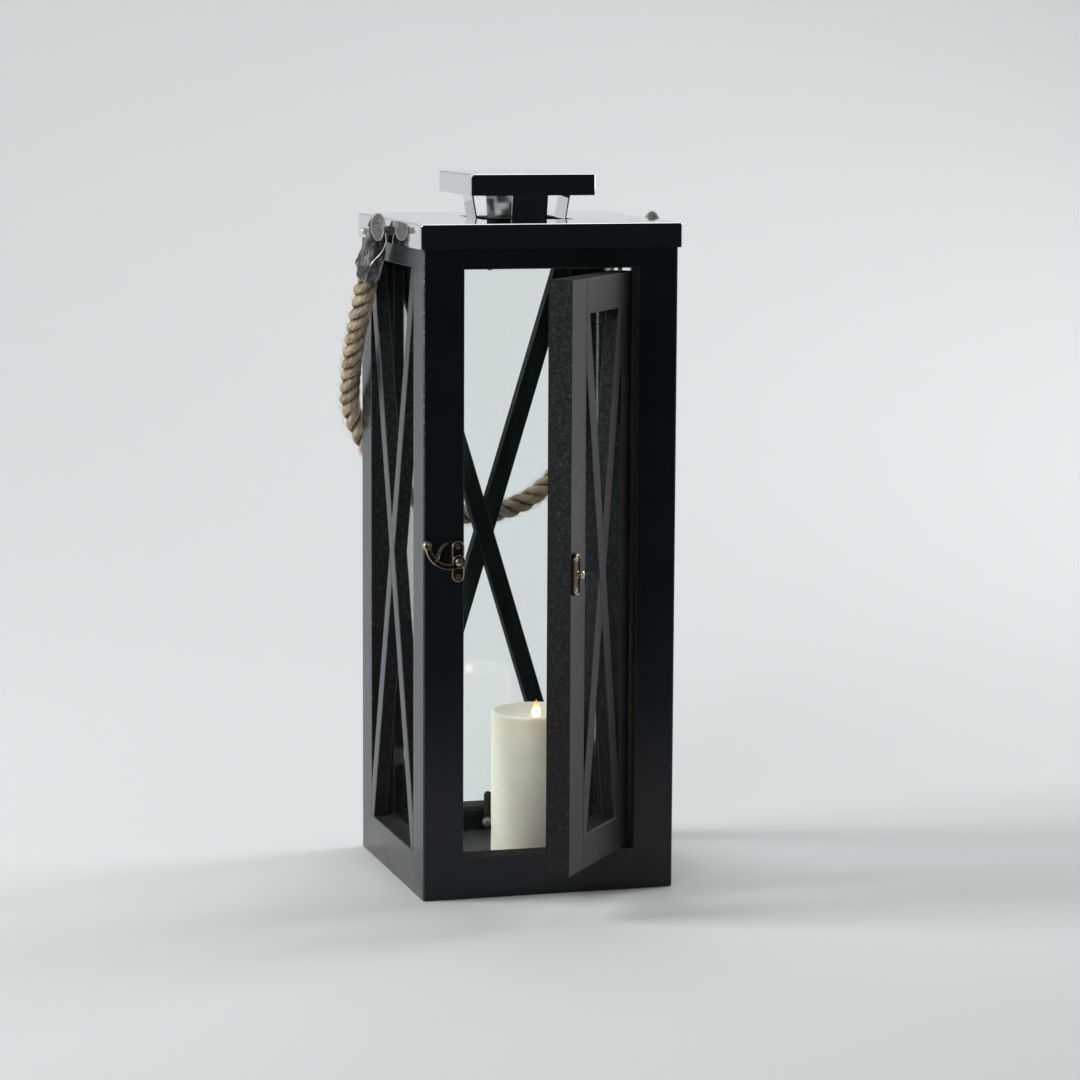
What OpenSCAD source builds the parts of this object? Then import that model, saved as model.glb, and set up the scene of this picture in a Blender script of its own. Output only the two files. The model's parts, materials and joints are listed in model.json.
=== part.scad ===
// Candle lantern: a tall black wooden case with crossed slats and glass, a hinged door with a
// swing-hook latch, a folded steel roof with a raised cap, and a rope handle on two pivot bolts.
// Millimetres. The origin is the centre of the base, +Z is up and the door faces -Y.

/* [Case] */
// Width and depth of the square wooden case
case_w = 170; // [160:1:190]
// Height of the wooden case
case_h = 438; // [400:1:480]
// Thickness of every frame member
frame_t = 16; // [15:0.5:18]
// Width of the upright frame members
stile_w = 27; // [24:0.5:32]
// Height of the cross frame members
rail_h = 28; // [24:0.5:34]
// Thickness of the floor board, which is flush with the bottom of the case
floor_t = 11; // [9:0.5:12]

/* [Slats and glass] */
// Width of a crossed slat
slat_w = 12; // [8:0.5:16]
// Thickness of a crossed slat
slat_t = 9; // [6:0.5:12]
// Thickness of a glass pane
glass_t = 2; // [2:0.25:3]
// How far a pane laps over its frame
glass_lap = 7; // [4:0.5:7]
// Width of a glass clip
clip_w = 5.5; // [4:0.5:8]
// Thickness of a glass clip
clip_t = 0.8; // [0.6:0.1:1]

/* [Door] */
// Angle that the door stands open
door_open = 52; // [0:1:95]
// Width of the door's upright members
door_stile_w = 25; // [22:0.5:28]
// Height of the door's cross members
door_rail_h = 22.5; // [20:0.5:28]
// Gap below the door
door_gap_bottom = 1.5; // [1:0.1:2]
// Gap above the door
door_gap_top = 2.5; // [1.5:0.1:4]
// Gap at each side of the door
door_gap_side = 1.5; // [1:0.1:2]
// Extra gap beside the rounded hinge edge
door_gap_hinge = 0.5; // [0.2:0.1:1]
// Diameter of the pivot pins
pin_d = 3; // [2.5:0.5:4]
// Length of a pivot pin on each side of its gap
pin_grip = 12; // [8:1:16]

/* [Roof] */
// How far the roof stands out past the case
roof_over = 2; // [1.5:0.25:4]
// Height of the roof's folded rim
roof_rim = 16; // [14:0.5:20]
// Thickness of the sheet steel
sheet_t = 1; // [0.8:0.1:1.2]
// Side of the square vent hole
vent_w = 62; // [50:1:64]
// Side of the square cap
cap_w = 84; // [80:1:92]
// Height of the cap's folded rim
cap_rim = 14; // [10:0.5:16]
// Clear height between the roof and the cap's rim
cap_gap = 16; // [14:0.5:20]
// Width of a cap leg
leg_w = 24; // [18:0.5:28]
// How far a cap leg leans outward on its way up
leg_lean = 5; // [3:0.5:6]

/* [Latch] */
// Height of the latch above the base
latch_z = 223; // [150:1:300]
// Width of the latch plates
plate_w = 8.5; // [8:0.1:9]
// Length of the latch plates
plate_len = 27; // [24:0.5:30]
// Height of the latch plates
plate_h = 3; // [2.5:0.1:3.2]
// Distance of the rivet from the edge of the case opening
rivet_inset = 4.6; // [4.4:0.1:5]
// Distance of the catch post from the door's free edge
post_inset = 5.2; // [5:0.1:5.6]
// Thickness of the hook
hook_t = 2; // [1.6:0.1:2.2]

/* [Handle] */
// Diameter of the rope
rope_d = 14; // [12:0.5:14]
// Distance of the rope's axis from the centre at the ferrules
ferrule_x = 96; // [95.5:0.5:98]
// Lean of the hanging ferrules away from vertical
ferrule_lean = 36; // [34:1:38]
// Outer diameter of the ferrule's round end
ferrule_d = 16.8; // [16.4:0.2:17]
// Width of the ferrule's flattened end
ferrule_w = 20; // [18:0.5:22]
// Thickness of the ferrule's flattened end
ferrule_t = 10; // [8:0.5:11]
// Length of the ferrule above the bolt
ferrule_up = 13; // [11:0.5:15]
// Length of the ferrule below the bolt
ferrule_down = 42; // [36:1:44]
// Diameter of the pivot bolts
bolt_d = 4; // [3:0.5:5]

/* [Candle] */
// Diameter of the candle
candle_d = 60; // [40:1:80]
// Height of the candle
candle_h = 100; // [60:5:200]
// Place of the candle to the right of the centre
candle_x = 10; // [-15:1:20]
// Place of the candle behind the centre
candle_y = -18; // [-20:1:20]

/* [Hidden] */
$fn = 64;
a_bit = 0.01;
half = case_w / 2;
inner = half - frame_t;
open_x = half - stile_w;
open_top = case_h - rail_h;
black = [0.12, 0.12, 0.13];
steel = [0.78, 0.79, 0.8];
brass = [0.55, 0.45, 0.25];

// The slats lie in the outer part of each opening and cross at its middle.
lap_z = (rail_h + open_top) / 2;

// Glass panes and the clips that hold them, seen from the outside face of a panel
pane_z0 = rail_h - glass_lap;
pane_z1 = open_top + glass_lap;
clip_foot = 10;
clip_reach = 10;
clip_hole = 5;
screw_head_r = 3.3;
screw_head_h = 1.6;
screw_r = 1.3;
screw_len = 9;

// Door: laid out closed, then turned about its pivot pins
pivot_r = frame_t / 2;
pivot_x = open_x - door_gap_side - door_gap_hinge - pivot_r;
pivot_y = pivot_r - half;
door_x0 = door_gap_side - open_x;
door_x1 = pivot_x + pivot_r;
door_z0 = rail_h + door_gap_bottom;
door_z1 = open_top - door_gap_top;
light_x0 = door_x0 + door_stile_w;
light_x1 = door_x1 - door_stile_w;
light_z0 = door_z0 + door_rail_h;
light_z1 = door_z1 - door_rail_h;
pane_lap = 6;
pin_fit = 0.07;
collar_r = 3.5;

// Roof and cap
roof_top = case_h + sheet_t;
roof_half = half + roof_over;
cap_z0 = roof_top + cap_gap;
cap_z1 = cap_z0 + cap_rim;
leg_foot = 7;

// Latch, seen from the front: the rivet is at the origin of the hook
rivet_x = -open_x - rivet_inset;
post_x = door_x0 + post_inset;
seat_r = post_x - rivet_x;
boss_r = 4.4;
rivet_r = 1.5;
rivet_head_r = 2.7;
rivet_fit = 0.06;
hook_gap = 0.3;
hook_y = -half - plate_h - hook_gap;
neck_r = 1.5;
post_head_r = 2.6;
arm_c = [-6, 11.2];
arm_r0 = 12.6;
arm_r1 = 16.2;
arm_from = 180;
arm_to = 296;
claw_out_c = [-0.6, -0.5];
claw_out_r = 15.3;
claw_in_c = [-0.7, 1.3];
claw_in_r = 12.5;
claw_from = 121;
claw_to = 166;
claw_tip = [-8.1, 12.2];
claw_tip_r = 0.75;
ball_c = [-21, 11.1];
ball_r = 3.1;
screw_pitch = 19.6;
dish_r = 2.3;

// Handle: laid out hanging, the pivot axis runs along X through both bolts
handle_z = roof_top - roof_rim / 2;
bolt_fit = 0.07;
bolt_start = inner + 2;
bolt_end = 104;
nut_r = 3.5;
nut_h = 1.2;
side_play = 0.2;
spacer_r = 4.2;
round_from = 24;
wall = 1.4;
rope_sides = 10;
// Route of the rope from the left ferrule to the middle of its hanging loop
rope_half = [
    [-96, 24.7, 397], [-96.3, 34.5, 383.2], [-96.8, 44, 370], [-97, 53, 357.5], [-96.6, 62.5, 345],
    [-95.6, 72.5, 333], [-94.2, 82, 321], [-91.8, 91.5, 308.5], [-86.5, 97.5, 295],
    [-78.5, 100.5, 280], [-66, 102, 262], [-50.5, 102, 246], [-33.5, 102, 235],
    [-17, 101.7, 229.8], [0, 101.5, 228.2]
];
rope_path = concat(rope_half, [for (i = [len(rope_half) - 2:-1:0]) mirror_x(rope_half[i])]);

// Candle
candle_r = candle_d / 2;
well_r = candle_r - 5;
well_depth = 4;
wick_r = 0.8;
wick_h = 7;
rim_round = 2.5;

function mirror_x(p) = [-p[0], p[1], p[2]];
function unit(v) = v / norm(v);
// Direction of the rope at route point i
function rope_dir(i) =
    unit(rope_path[min(i + 1, len(rope_path) - 1)] - rope_path[max(i - 1, 0)]);
// Ring of points round route point i
function rope_ring(i) =
    let (t = rope_dir(i), u = unit(cross(t, [0, 1, -0.4])), v = cross(t, u))
    [for (k = [0:rope_sides - 1])
        let (a = 360 * k / rope_sides) rope_path[i] + rope_d / 2 * (cos(a) * u + sin(a) * v)];

// ---- Frames of the case ----

// Turns something drawn for the front panel to the panel at a quarter-turn count
module at_panel(turns) {
    rotate([0, 0, 90 * turns]) children();
}

// Extrudes an outline in X and Z through the depth of the front panel
module front_slab(depth) {
    translate([0, -half + depth, 0]) rotate([90, 0, 0]) linear_extrude(depth) children();
}

// Upright of a panel: mitred ends and a bevelled corner edge; side is -1 or 1
module stile(side) {
    color(black) intersection() {
        front_slab(frame_t)
            polygon([[side * half, 0], [side * open_x, rail_h],
                [side * open_x, open_top], [side * half, case_h]]);
        linear_extrude(case_h)
            polygon([[side * half, -half], [side * open_x, -half],
                [side * open_x, -inner], [side * inner, -inner]]);
    }
}

// Cross member of a panel: mitred ends and bevelled corner edges
module rail(z_edge, z_open) {
    color(black) intersection() {
        front_slab(frame_t)
            polygon([[-half, z_edge], [half, z_edge], [open_x, z_open], [-open_x, z_open]]);
        linear_extrude(case_h)
            polygon([[-half, -half], [half, -half], [inner, -inner], [-inner, -inner]]);
    }
}

// Slat from corner to corner of an opening, halved where it crosses its partner
module slat(x0, x1, z0, z1, rise, y0) {
    w = x1 - x0;
    h = z1 - z0;
    lean = atan2(h, rise * w);
    color(black) translate([(x0 + x1) / 2, y0, (z0 + z1) / 2]) intersection() {
        translate([-w / 2, 0, -h / 2]) cube([w, slat_t, h]);
        difference() {
            rotate([0, -lean, 0]) translate([-h, 0, -slat_w / 2]) cube([2 * h, slat_t, slat_w]);
            rotate([0, lean, 0]) translate([-h, rise > 0 ? -a_bit : slat_t / 2, -slat_w / 2])
                cube([2 * h, slat_t / 2 + a_bit, slat_w]);
        }
    }
}

module case_slat(rise) {
    slat(-open_x, open_x, rail_h, open_top, rise, -half);
}

module pane(x0, x1, z0, z1) {
    color([0.75, 0.85, 0.85, 0.35])
        translate([x0, -inner, z0]) cube([x1 - x0, glass_t, z1 - z0]);
}

module case_pane() {
    pane(-open_x - glass_lap, open_x + glass_lap, pane_z0, pane_z1);
}

// Cranked clip: a foot on the frame's inner face and a finger over the pane's edge.
// The pane's edge is at height z_edge, and up is 1 where the pane lies above it.
module clip(x, z_edge, up) {
    step_y = glass_t + clip_t;
    color("dimgray") translate([x, -inner, z_edge]) mirror([0, 0, up < 0 ? 1 : 0]) difference() {
        translate([-clip_w / 2, 0, 0]) rotate([90, 0, 90]) linear_extrude(clip_w)
            polygon([[0, -clip_foot], [clip_t, -clip_foot], [clip_t, -2 * clip_t],
                [step_y, -clip_t], [step_y, glass_lap + clip_reach],
                [glass_t, glass_lap + clip_reach], [glass_t, -clip_t / 4], [0, -clip_t]]);
        translate([0, -1, -clip_hole]) rotate([-90, 0, 0]) cylinder(r = screw_r, h = 4);
    }
}

// Round-headed screw through a clip's foot into the frame
module clip_screw(x, z_edge, up) {
    color(steel) translate([x, -inner + clip_t, z_edge - up * clip_hole]) difference() {
        union() {
            rotate([-90, 0, 0]) cylinder(r1 = screw_head_r, r2 = screw_head_r * 0.6, h = screw_head_h);
            rotate([90, 0, 0]) cylinder(r = screw_r, h = clip_t);
        }
        for (a = [0, 90]) rotate([0, a + 45, 0])
            translate([-1.8, screw_head_h - 0.7, -0.35]) cube([3.6, 1, 0.7]);
    }
}

module case_clips() {
    for (turns = [1:3]) at_panel(turns) {
        clip(0, pane_z0, 1);
        clip(0, pane_z1, -1);
    }
}

module case_clip_screws() {
    for (turns = [1:3]) at_panel(turns) {
        clip_screw(0, pane_z0, 1);
        clip_screw(0, pane_z1, -1);
    }
}

// Cross member of the front panel, drilled for one of the door's pins
module front_rail(z_edge, z_open, z_pin) {
    color(black) difference() {
        rail(z_edge, z_open);
        translate([pivot_x, pivot_y, z_pin]) cylinder(d = pin_d, h = pin_grip + a_bit);
    }
}

// Top cross member of a side panel, drilled for the handle's bolt
module side_rail_top() {
    color(black) difference() {
        rail(case_h, open_top);
        translate([0, -half - 1, handle_z]) rotate([-90, 0, 0])
            cylinder(d = bolt_d, h = half + 1 - bolt_start);
    }
}

module floor_board() {
    color([0.2, 0.2, 0.21]) translate([-inner, -inner, 0])
        cube([2 * inner, 2 * inner, floor_t]);
}

// ---- Roof ----

// Sheet folded down on four sides, open below, with an optional square hole
module folded_lid(w, z0, z1, hole) {
    difference() {
        translate([-w / 2, -w / 2, z0]) cube([w, w, z1 - z0]);
        translate([-w / 2 + sheet_t, -w / 2 + sheet_t, z0 - 1])
            cube([w - 2 * sheet_t, w - 2 * sheet_t, z1 - z0 + 1 - sheet_t]);
        if (hole > 0) translate([-hole / 2, -hole / 2, z0]) cube([hole, hole, z1 - z0 + 1]);
    }
}

module roof_lid() {
    color(steel) difference() {
        folded_lid(2 * roof_half, roof_top - roof_rim, roof_top, vent_w);
        translate([-roof_half - 1, 0, handle_z]) rotate([0, 90, 0])
            cylinder(d = bolt_d, h = 2 * roof_half + 2);
    }
}

module roof_cap() {
    color(steel) folded_lid(cap_w, cap_z0, cap_z1, 0);
}

// Strip legs that lean outward from the vent hole's edges to the underside of the cap.
// Each has a foot under the roof sheet and a flange under the cap.
module cap_legs() {
    x0 = vent_w / 2 - sheet_t;
    x1 = x0 + leg_lean;
    zt = cap_z1 - sheet_t;
    zr = roof_top - sheet_t;
    color(steel) for (turns = [0:3]) at_panel(turns)
        translate([x0, leg_w / 2, 0]) rotate([90, 0, 0]) linear_extrude(leg_w)
            polygon([[0, zr - sheet_t], [sheet_t + leg_foot, zr - sheet_t], [sheet_t + leg_foot, zr],
                [sheet_t, zr], [sheet_t, roof_top], [sheet_t + leg_lean, zt - sheet_t],
                [leg_lean, zt], [leg_lean - leg_foot, zt], [leg_lean - leg_foot, zt - sheet_t],
                [leg_lean - sheet_t / 4, zt - sheet_t], [0, roof_top]]);
}

// ---- Door ----

// Turns a part of the closed door to the open position
module at_door() {
    translate([pivot_x, pivot_y, 0]) rotate([0, 0, door_open])
        translate([-pivot_x, -pivot_y, 0]) children();
}

module door_stile_hinge() {
    color(black) at_door() difference() {
        union() {
            translate([light_x1, -half, door_z0])
                cube([pivot_x - light_x1, frame_t, door_z1 - door_z0]);
            translate([pivot_x, pivot_y, door_z0]) cylinder(r = pivot_r, h = door_z1 - door_z0);
        }
        for (z = [door_z0 - 1, door_z1 - pin_grip - 1]) translate([pivot_x, pivot_y, z])
            cylinder(d = pin_d + 2 * pin_fit, h = pin_grip + 2);
    }
}

module door_stile_free() {
    color(black) at_door() difference() {
        translate([door_x0, -half, door_z0])
            cube([door_stile_w, frame_t, door_z1 - door_z0]);
        translate([post_x, -half, latch_z]) rotate([-90, 0, 0])
            cylinder(r = neck_r, h = 2 * screw_len, center = true);
    }
}

module door_rail(z) {
    color(black) at_door() translate([light_x0, -half, z])
        cube([light_x1 - light_x0, frame_t, door_rail_h]);
}

module door_slat(rise) {
    at_door() slat(light_x0, light_x1, light_z0, light_z1, rise, -half);
}

module door_glass() {
    at_door() pane(light_x0 - pane_lap, light_x1 + pane_lap, light_z0 - pane_lap, light_z1 + pane_lap);
}

module door_glass_clips() {
    at_door() {
        clip((light_x0 + light_x1) / 2, light_z0 - pane_lap, 1);
        clip((light_x0 + light_x1) / 2, light_z1 + pane_lap, -1);
    }
}

module door_clip_screws() {
    at_door() {
        clip_screw((light_x0 + light_x1) / 2, light_z0 - pane_lap, 1);
        clip_screw((light_x0 + light_x1) / 2, light_z1 + pane_lap, -1);
    }
}

// Pin standing in the top rail and reaching down into the door
module door_pin_top() {
    color(steel) translate([pivot_x, pivot_y, door_z1 - pin_grip])
        cylinder(d = pin_d, h = 2 * pin_grip + door_gap_top);
}

// Pin standing in the bottom rail, with the collar that carries the door
module door_pin_bottom() {
    color(steel) translate([pivot_x, pivot_y, rail_h]) {
        translate([0, 0, -pin_grip]) cylinder(d = pin_d, h = 2 * pin_grip + door_gap_bottom);
        cylinder(r = collar_r, h = door_gap_bottom - 0.1);
    }
}

// ---- Latch ----

// Flat piece standing off the front face, drawn in X and Z round the point (x, latch_z)
module on_front(x, y, t) {
    translate([x, y, latch_z]) rotate([90, 0, 0]) linear_extrude(t) children();
}

module plate_outline(w, len) {
    square([w, len - w], center = true);
    for (s = [-1, 1]) translate([0, s * (len - w) / 2]) circle(d = w);
}

// Pressed plate with round ends, a stepped edge and two countersunk screw holes
module latch_plate(x, hole_r) {
    color(brass) difference() {
        union() {
            on_front(x, -half, plate_h * 0.6) plate_outline(plate_w, plate_len);
            on_front(x, -half - plate_h * 0.6, plate_h * 0.4)
                plate_outline(plate_w - 1.4, plate_len - 1.4);
        }
        on_front(x, -half + 1, plate_h + 2) circle(r = hole_r);
        for (s = [-1, 1]) translate([x, -half, latch_z + s * screw_pitch / 2]) rotate([90, 0, 0]) {
            translate([0, 0, plate_h - 1.6]) cylinder(r = dish_r, h = 2);
            translate([0, 0, -1]) cylinder(r = screw_r, h = plate_h + 2);
        }
    }
}

module plate_screws(x) {
    color(brass) for (s = [-1, 1]) translate([x, -half, latch_z + s * screw_pitch / 2])
        rotate([90, 0, 0]) difference() {
            union() {
                translate([0, 0, plate_h - 1.6]) cylinder(r1 = dish_r - 0.05, r2 = 1.6, h = 1.2);
                cylinder(r = screw_r, h = plate_h - 1.6);
            }
            translate([-2, -0.3, plate_h - 0.9]) cube([4, 0.6, 1]);
        }
}

module hook_plate() {
    latch_plate(rivet_x, rivet_r);
}

module hook_rivet() {
    y_hook = plate_h + hook_gap + hook_t;
    color(brass) translate([rivet_x, -half, latch_z]) rotate([90, 0, 0]) {
        cylinder(r = rivet_r, h = y_hook + 0.15);
        translate([0, 0, y_hook + 0.15])
            cylinder(r1 = rivet_head_r, r2 = rivet_head_r * 0.55, h = 1.3);
    }
}

// Arm, claw and ball of the swing hook; the seat opens upward when the hook is at rest
module latch_hook() {
    color(brass) union() {
        on_front(rivet_x, hook_y, hook_t) difference() {
            union() {
                circle(r = boss_r);
                difference() {
                    translate(arm_c) ring_piece(arm_r0, arm_r1, arm_from, arm_to);
                    translate([0.6, -1.2]) circle(r = rivet_head_r / 2);
                }
                difference() {
                    intersection() {
                        translate(claw_out_c) circle(r = claw_out_r);
                        ring_piece(1, 20, claw_from, claw_to + 14);
                    }
                    translate(claw_in_c) circle(r = claw_in_r);
                }
                translate(claw_tip) circle(r = claw_tip_r);
            }
            circle(r = rivet_r + rivet_fit);
        }
        translate([rivet_x + ball_c[0], hook_y - hook_t / 2, latch_z + ball_c[1]]) sphere(r = ball_r);
    }
}

// Part of a flat ring between two angles
module ring_piece(r0, r1, from, to) {
    steps = 12;
    intersection() {
        difference() {
            circle(r = r1);
            circle(r = r0);
        }
        polygon(concat([[0, 0]], [for (i = [0:steps])
            let (a = from + (to - from) * i / steps) 2 * r1 * [cos(a), sin(a)]]));
    }
}

module catch_plate() {
    at_door() latch_plate(post_x, neck_r);
}

module catch_plate_screws() {
    at_door() plate_screws(post_x);
}

// Mushroom-headed post that the hook drops over
module catch_post() {
    head_z = plate_h + 2 * hook_gap + hook_t;
    color(brass) at_door() translate([post_x, -half, latch_z]) rotate([90, 0, 0]) {
        translate([0, 0, -screw_len]) cylinder(r = neck_r, h = screw_len + head_z);
        translate([0, 0, head_z]) cylinder(r1 = post_head_r, r2 = post_head_r * 0.7, h = 1.4);
    }
}

// ---- Handle ----

// Turns something drawn round the bolt's axis, hanging along -Z, to the ferrule's lean
module at_ferrule(side) {
    translate([side * ferrule_x, 0, handle_z]) rotate([ferrule_lean, 0, 0]) children();
}

// Tube crimped flat at the top, where the bolt passes through it
module ferrule(side) {
    blend = 14;
    color([0.35, 0.33, 0.32]) at_ferrule(side) difference() {
        union() {
            translate([0, 0, -ferrule_down])
                cylinder(d = ferrule_d, h = ferrule_down - round_from);
            hull() {
                translate([0, 0, -round_from]) cylinder(d = ferrule_d, h = 0.5, $fn = 32);
                translate([0, 0, blend - round_from]) linear_extrude(0.5) flat_section();
            }
            translate([0, 0, blend - round_from + 0.5])
                linear_extrude(round_from - blend - 0.5 + ferrule_up) flat_section();
        }
        translate([0, 0, -ferrule_down - 1])
            cylinder(r = ferrule_d / 2 - wall, h = ferrule_down - round_from + 1);
        rotate([0, 90, 0]) cylinder(d = bolt_d + 2 * bolt_fit, h = 40, center = true);
    }
}

// Almond-shaped section of the crimped end
module flat_section() {
    r = (ferrule_w * ferrule_w + ferrule_t * ferrule_t) / (4 * ferrule_t);
    intersection() {
        translate([r - ferrule_t / 2, 0]) circle(r = r);
        translate([ferrule_t / 2 - r, 0]) circle(r = r);
    }
}

// Bolt through the roof's rim and the ferrule, with a round nut at its end
module handle_bolt(side) {
    color(steel) translate([0, 0, handle_z]) rotate([0, side * 90, 0]) {
        translate([0, 0, bolt_start]) cylinder(d = bolt_d, h = bolt_end - bolt_start - bolt_d / 2);
        translate([0, 0, bolt_end - bolt_d / 2]) sphere(d = bolt_d);
        translate([0, 0, ferrule_x + ferrule_t / 2 + side_play]) cylinder(r = nut_r, h = nut_h);
    }
}

module handle_spacer(side) {
    color(steel) translate([0, 0, handle_z]) rotate([0, side * 90, 0])
        translate([0, 0, roof_half]) difference() {
            cylinder(r = spacer_r, h = ferrule_x - ferrule_t / 2 - roof_half - side_play);
            translate([0, 0, -1]) cylinder(d = bolt_d, h = ferrule_x);
        }
}

module handle_rope() {
    n = len(rope_path);
    last = (n - 1) * rope_sides;
    color([0.72, 0.6, 0.45]) polyhedron(
        points = [for (i = [0:n - 1]) each rope_ring(i)],
        faces = concat(
            [[for (k = [0:rope_sides - 1]) k]],
            [for (i = [0:n - 2]) for (k = [0:rope_sides - 1])
                let (a = i * rope_sides + k, b = i * rope_sides + (k + 1) % rope_sides)
                each [[a, a + rope_sides, b], [b, a + rope_sides, b + rope_sides]]],
            [[for (k = [rope_sides - 1:-1:0]) last + k]]));
}

// ---- Candle ----

module candle() {
    color("ivory") translate([candle_x, candle_y, floor_t]) difference() {
        rotate_extrude() union() {
            square([candle_r, candle_h - rim_round]);
            square([candle_r - rim_round, candle_h]);
            translate([candle_r - rim_round, candle_h - rim_round]) circle(r = rim_round);
        }
        translate([0, 0, candle_h - well_depth]) cylinder(r = well_r, h = well_depth + 1);
    }
}

module candle_wick() {
    color("black") translate([candle_x, candle_y, floor_t + candle_h - well_depth])
        cylinder(r = wick_r, h = wick_h);
}

stile(-1);  // front_stile_left
stile(1);  // front_stile_right
front_rail(case_h, open_top, open_top - a_bit);  // front_rail_top
front_rail(0, rail_h, rail_h - pin_grip);  // front_rail_bottom
at_panel(2) stile(1);  // back_stile_left
at_panel(2) stile(-1);  // back_stile_right
at_panel(2) rail(case_h, open_top);  // back_rail_top
at_panel(2) rail(0, rail_h);  // back_rail_bottom
at_panel(3) stile(1);  // left_stile_front
at_panel(3) stile(-1);  // left_stile_back
at_panel(3) side_rail_top();  // left_rail_top
at_panel(3) rail(0, rail_h);  // left_rail_bottom
at_panel(1) stile(-1);  // right_stile_front
at_panel(1) stile(1);  // right_stile_back
at_panel(1) side_rail_top();  // right_rail_top
at_panel(1) rail(0, rail_h);  // right_rail_bottom
at_panel(2) case_slat(1);  // back_slat_rising
at_panel(2) case_slat(-1);  // back_slat_falling
at_panel(3) case_slat(1);  // left_slat_rising
at_panel(3) case_slat(-1);  // left_slat_falling
at_panel(1) case_slat(1);  // right_slat_rising
at_panel(1) case_slat(-1);  // right_slat_falling
at_panel(2) case_pane();  // back_glass
at_panel(3) case_pane();  // left_glass
at_panel(1) case_pane();  // right_glass
case_clips();  // glass_clips
case_clip_screws();  // glass_clip_screws
floor_board();
roof_lid();
roof_cap();
cap_legs();
door_stile_hinge();
door_stile_free();
door_rail(door_z1 - door_rail_h);  // door_rail_top
door_rail(door_z0);  // door_rail_bottom
door_slat(1);  // door_slat_rising
door_slat(-1);  // door_slat_falling
door_glass();
door_glass_clips();
door_clip_screws();
door_pin_top();
door_pin_bottom();
hook_plate();
plate_screws(rivet_x);  // hook_plate_screws
hook_rivet();
latch_hook();
catch_plate();
catch_plate_screws();
catch_post();
handle_bolt(-1);  // handle_bolt_left
handle_bolt(1);  // handle_bolt_right
handle_spacer(-1);  // handle_spacer_left
handle_spacer(1);  // handle_spacer_right
ferrule(-1);  // ferrule_left
ferrule(1);  // ferrule_right
handle_rope();
candle();
candle_wick();
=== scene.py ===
import json
import random
from math import cos, exp, pi, radians, sin, sqrt

import bmesh
import bpy
import numpy as np
from mathutils import Matrix, Vector, noise

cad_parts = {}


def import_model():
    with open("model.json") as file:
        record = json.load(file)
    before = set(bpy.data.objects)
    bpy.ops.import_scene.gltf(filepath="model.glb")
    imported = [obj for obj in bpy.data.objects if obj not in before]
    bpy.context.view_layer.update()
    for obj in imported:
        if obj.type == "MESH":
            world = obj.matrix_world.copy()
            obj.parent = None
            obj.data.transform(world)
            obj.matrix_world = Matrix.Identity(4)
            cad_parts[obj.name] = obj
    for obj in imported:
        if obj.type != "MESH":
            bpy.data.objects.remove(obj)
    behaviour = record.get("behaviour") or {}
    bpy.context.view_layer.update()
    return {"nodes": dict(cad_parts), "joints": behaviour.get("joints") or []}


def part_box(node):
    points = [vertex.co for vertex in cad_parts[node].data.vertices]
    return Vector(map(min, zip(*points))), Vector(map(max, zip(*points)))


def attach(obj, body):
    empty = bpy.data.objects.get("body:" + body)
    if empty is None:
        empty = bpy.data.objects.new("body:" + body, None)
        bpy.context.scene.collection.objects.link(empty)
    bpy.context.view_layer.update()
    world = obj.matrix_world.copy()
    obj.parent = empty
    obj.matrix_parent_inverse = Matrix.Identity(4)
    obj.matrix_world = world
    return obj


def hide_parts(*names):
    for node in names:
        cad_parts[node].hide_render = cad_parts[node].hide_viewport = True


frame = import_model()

# Looks of the candle lantern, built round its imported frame. Metres, as in the frame: the lantern
# stands on Z = 0 and its door faces -Y. Lengths written with MM are in millimetres.
MM = 0.001
TAU = 2 * pi
nodes = frame["nodes"]
joints = {j["name"]: j for j in frame["joints"]}

# ---- Sizes taken from the frame ----

# The case's half width, inside and outside, and its opening's; its height and its rails' height
stile_low, stile_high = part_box("front_stile_left")
HALF = -stile_low.x
INNER = -stile_high.y
OPEN_X = -stile_high.x
CASE_H = stile_high.z
RAIL_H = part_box("front_rail_bottom")[1].z
DOOR_ANGLE = radians(-joints["door_swing"]["range_deg"][0])
DOOR_NORMAL = Matrix.Rotation(DOOR_ANGLE, 3, "Z") @ Vector((0, -1, 0))
FERRULE_LEAN = radians(36)


# ---- Camera ----

def show(name, data):
    """A new object in the scene with that data."""
    shown = bpy.data.objects.new(name, data)
    bpy.context.scene.collection.objects.link(shown)
    return shown


def make_camera():
    """Camera a little above the lantern, left of its door and 2.3 metres away."""
    azimuth, distance, height = radians(15.823), 2.3486, 0.5452
    yaw, pitch, roll = radians(16.233), radians(7.804), radians(0.299)
    data = bpy.data.cameras.new("camera")
    data.sensor_width = 36
    data.lens = 117.8
    data.clip_start, data.clip_end = 0.05, 60
    camera = show("camera", data)
    camera.location = (-sin(azimuth) * distance, -cos(azimuth) * distance, height)
    forward = Vector((sin(yaw) * cos(pitch), cos(yaw) * cos(pitch), -sin(pitch)))
    right = Vector((cos(yaw), -sin(yaw), 0))
    up = right.cross(forward)
    across = right * cos(roll) + up * sin(roll)
    upward = up * cos(roll) - right * sin(roll)
    camera.rotation_mode = "QUATERNION"
    camera.rotation_quaternion = Matrix((across, upward, -forward)).transposed().to_quaternion()
    bpy.context.scene.camera = camera


make_camera()


# ---- Materials ----

def new_material(name, **sockets):
    """A Principled material. Returns it, its node tree and its shader node."""
    material = bpy.data.materials.new(name)
    material.use_nodes = True
    shader = material.node_tree.nodes["Principled BSDF"]
    for socket, value in sockets.items():
        shader.inputs[socket.replace("_", " ")].default_value = value
    return material, material.node_tree, shader


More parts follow.
